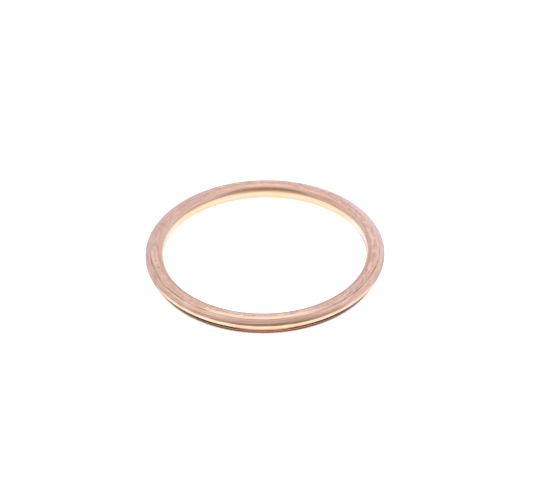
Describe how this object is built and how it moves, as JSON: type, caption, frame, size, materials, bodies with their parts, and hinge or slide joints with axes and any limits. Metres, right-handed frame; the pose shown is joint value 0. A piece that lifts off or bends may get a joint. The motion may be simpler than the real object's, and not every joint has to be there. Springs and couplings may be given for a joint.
{
  "type": "exhaust gasket",
  "caption": "Hollow copper crush ring for an exhaust port joint, folded from soft sheet, with flat lands above and below and a rolled outer bead.",
  "frame": {"origin": "centre of the ring, in the plane of its flat underside", "axes": "+Z along the axis of the ring, from the flat underside to the top land"},
  "size_m": [0.053, 0.053, 0.004],
  "materials": {
    "copper": "bare soft copper, satin and lightly scuffed on the top land, brighter on the bead and the wall of the hole"
  },
  "bodies": {
    "root": {"gasket_ring": "copper"}
  },
  "joints": []
}
